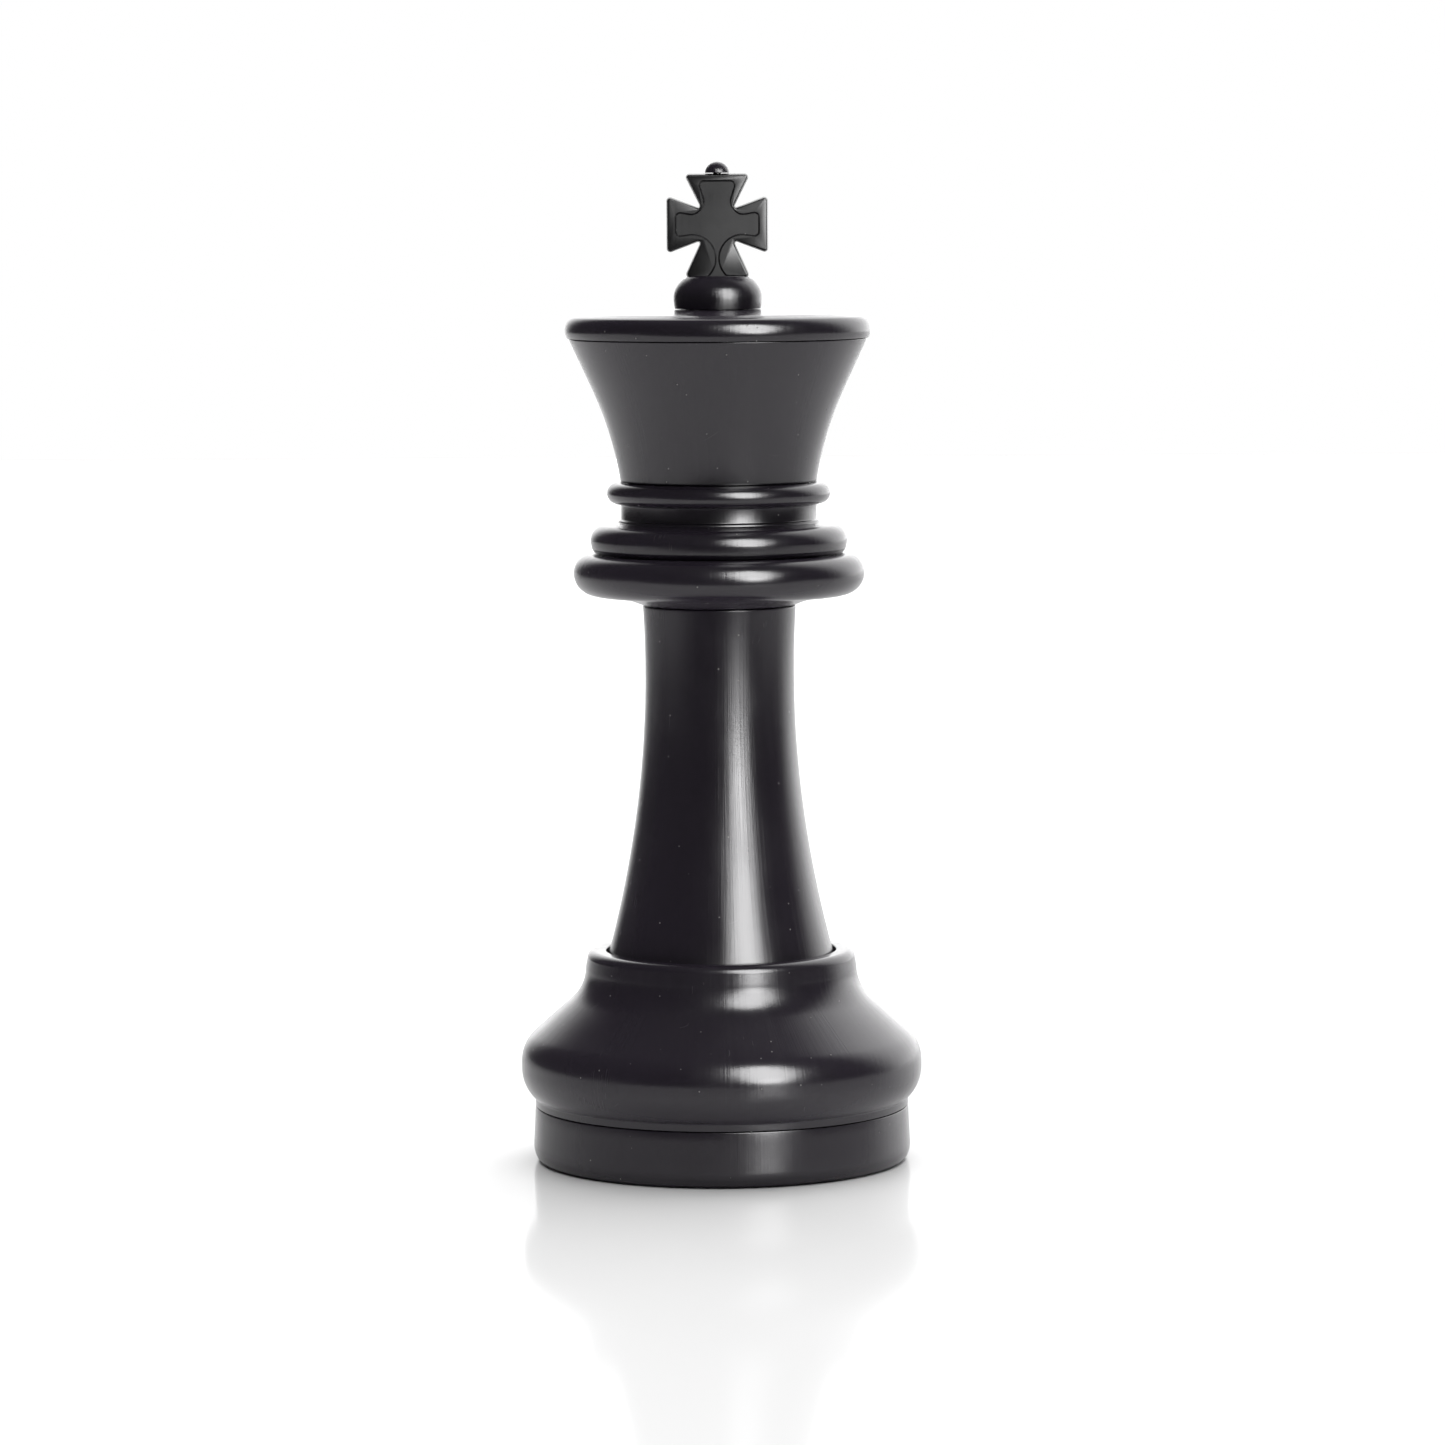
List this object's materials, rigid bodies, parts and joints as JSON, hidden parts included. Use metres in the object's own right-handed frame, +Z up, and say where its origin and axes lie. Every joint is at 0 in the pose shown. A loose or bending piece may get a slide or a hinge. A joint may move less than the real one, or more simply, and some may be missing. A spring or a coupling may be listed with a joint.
{
  "type": "giant chess king",
  "caption": "Giant garden chess king of hollow black plastic: bell base, waisted stem, collar rings, flared crown with domed lid, and a cross on a bulb with a ball on top.",
  "frame": {"origin": "centre of the circle that the king stands on, on the floor", "axes": "+Z up along the king's axis, the front of the cross faces -Y, +X to the right of someone who looks at the front"},
  "size_m": [0.1636, 0.1636, 0.4064],
  "materials": {
    "shell": "moulded black polyethylene, satin gloss",
    "cross": "moulded black plastic, satin",
    "plug": "moulded black plastic, fine texture",
    "washer": "black rubber",
    "screw": "zinc plated"
  },
  "bodies": {
    "base": {"foot_pan": "shell", "base_shell": "shell"},
    "plug_seal": {"plug_washer": "washer"},
    "plug": {"fill_plug": "plug"},
    "stem_seal": {"stem_washer": "washer"},
    "stem": {"stem": "shell"},
    "head_seal": {"head_washer": "washer"},
    "head": {"collar": "shell", "neck_ring": "shell"},
    "crown": {"crown_cup": "shell", "crown_lid": "shell"},
    "finial": {"finial_bulb": "shell", "cross": "cross", "ball": "shell", "cross_screw": "screw"}
  },
  "joints": [
    {"name": "plug_drop", "type": "slide", "parent": "base", "child": "plug_seal", "axis": [0, 0, -1], "range_m": [0, 0.0055]},
    {"name": "plug_turn", "type": "hinge", "parent": "plug_seal", "child": "plug", "pos_m": [0, 0, 0.007], "axis": [0, 0, -1], "range_deg": [0, 430]},
    {"name": "stem_lift", "type": "slide", "parent": "base", "child": "stem_seal", "axis": [0, 0, 1], "range_m": [0, 0.0088]},
    {"name": "stem_turn", "type": "hinge", "parent": "stem_seal", "child": "stem", "pos_m": [0, 0, 0.0842], "axis": [0, 0, 1], "range_deg": [0, 390]},
    {"name": "head_lift", "type": "slide", "parent": "stem", "child": "head_seal", "axis": [0, 0, 1], "range_m": [0, 0.0066]},
    {"name": "head_turn", "type": "hinge", "parent": "head_seal", "child": "head", "pos_m": [0, 0, 0.2273], "axis": [0, 0, 1], "range_deg": [0, 390]},
    {"name": "crown_pull", "type": "slide", "parent": "head", "child": "crown", "axis": [0, 0, 1], "range_m": [0, 0.013]},
    {"name": "finial_pull", "type": "slide", "parent": "crown", "child": "finial", "axis": [0, 0, 1], "range_m": [0, 0.02]}
  ],
  "couplings": [
    {"joint": "plug_drop", "follows": "plug_turn", "m_per_rad": 0.0007162},
    {"joint": "stem_lift", "follows": "stem_turn", "m_per_rad": 0.0012732},
    {"joint": "head_lift", "follows": "head_turn", "m_per_rad": 0.0009549}
  ]
}
